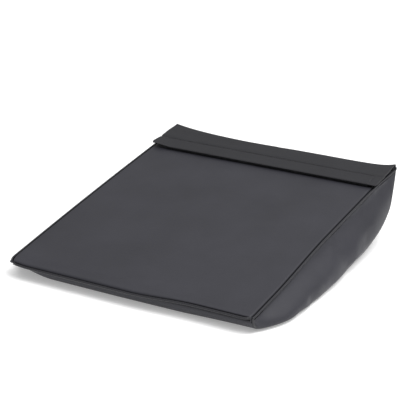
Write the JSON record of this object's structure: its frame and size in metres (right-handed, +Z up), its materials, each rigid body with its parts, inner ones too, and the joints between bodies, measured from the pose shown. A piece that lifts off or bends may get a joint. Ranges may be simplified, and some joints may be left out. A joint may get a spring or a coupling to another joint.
{
  "type": "slant board",
  "caption": "Sloping wedge board in a black leathercloth cover, with a bead-filled base and a rear flap closed by hook and loop tape.",
  "frame": {"origin": "on the flat underside, midway across and halfway along the sloping face", "axes": "+X to the right seen from the low front edge, +Y towards the high end, +Z up"},
  "size_m": [0.3684, 0.3776, 0.0924],
  "materials": {
    "black_leathercloth": "satin, fine grain",
    "piping_cord": "twisted cotton",
    "loop_tape": "brushed loop pile",
    "hook_tape": "moulded hooks",
    "flap_lining": "woven backing",
    "black_thread": "twisted thread",
    "foam": "open cells",
    "plywood": "sanded birch",
    "liner_cloth": "plain weave",
    "beads": "expanded beads"
  },
  "bodies": {
    "cover": {"cover_top": "black_leathercloth", "front_band": "black_leathercloth", "base_panel": "black_leathercloth", "rear_panel": "black_leathercloth", "side_gusset_left": "black_leathercloth", "side_gusset_right": "black_leathercloth", "piping_cover": "black_leathercloth", "piping_cord": "piping_cord", "loop_tape": "loop_tape", "foam_pad": "foam", "slant_board": "plywood", "liner_bag": "liner_cloth", "bead_filling": "beads"},
    "flap": {"flap_outer": "black_leathercloth", "flap_lining": "flap_lining", "hook_tape": "hook_tape", "flap_stitching": "black_thread"}
  },
  "joints": [
    {"name": "flap_fold", "type": "hinge", "parent": "cover", "child": "flap", "pos_m": [0, 0.18633, 0.09242], "axis": [-1, 0, 0], "range_deg": [0, 175]}
  ]
}
